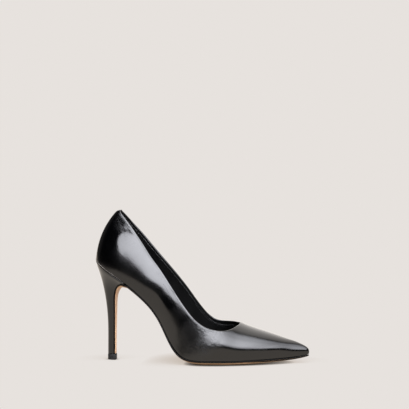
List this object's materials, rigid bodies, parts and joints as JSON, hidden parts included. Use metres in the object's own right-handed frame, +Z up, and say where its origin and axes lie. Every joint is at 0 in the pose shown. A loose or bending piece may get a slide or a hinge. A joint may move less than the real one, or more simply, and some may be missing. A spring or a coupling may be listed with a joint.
{
  "type": "pointed toe pump",
  "caption": "Right pointed toe stiletto pump: hollow glossy upper with a low cut open top, insole, thin sole that curves up the arch and down the heel breast, slim heel and top piece.",
  "frame": {"origin": "middle of the shoe's length and width, on the floor", "axes": "+X towards the toe, +Y towards the inner (medial) side, +Z up"},
  "size_m": [0.2212, 0.0748, 0.156],
  "materials": {
    "upper": "smooth polished black leather",
    "insole": "matt black leather",
    "outsole": "plain tan sole leather",
    "heel": "covered in the same polished black leather as the upper",
    "top_piece": "matt black"
  },
  "bodies": {
    "root": {"upper": "upper", "insole": "insole", "outsole": "outsole", "heel": "heel", "top_piece": "top_piece"}
  },
  "joints": []
}
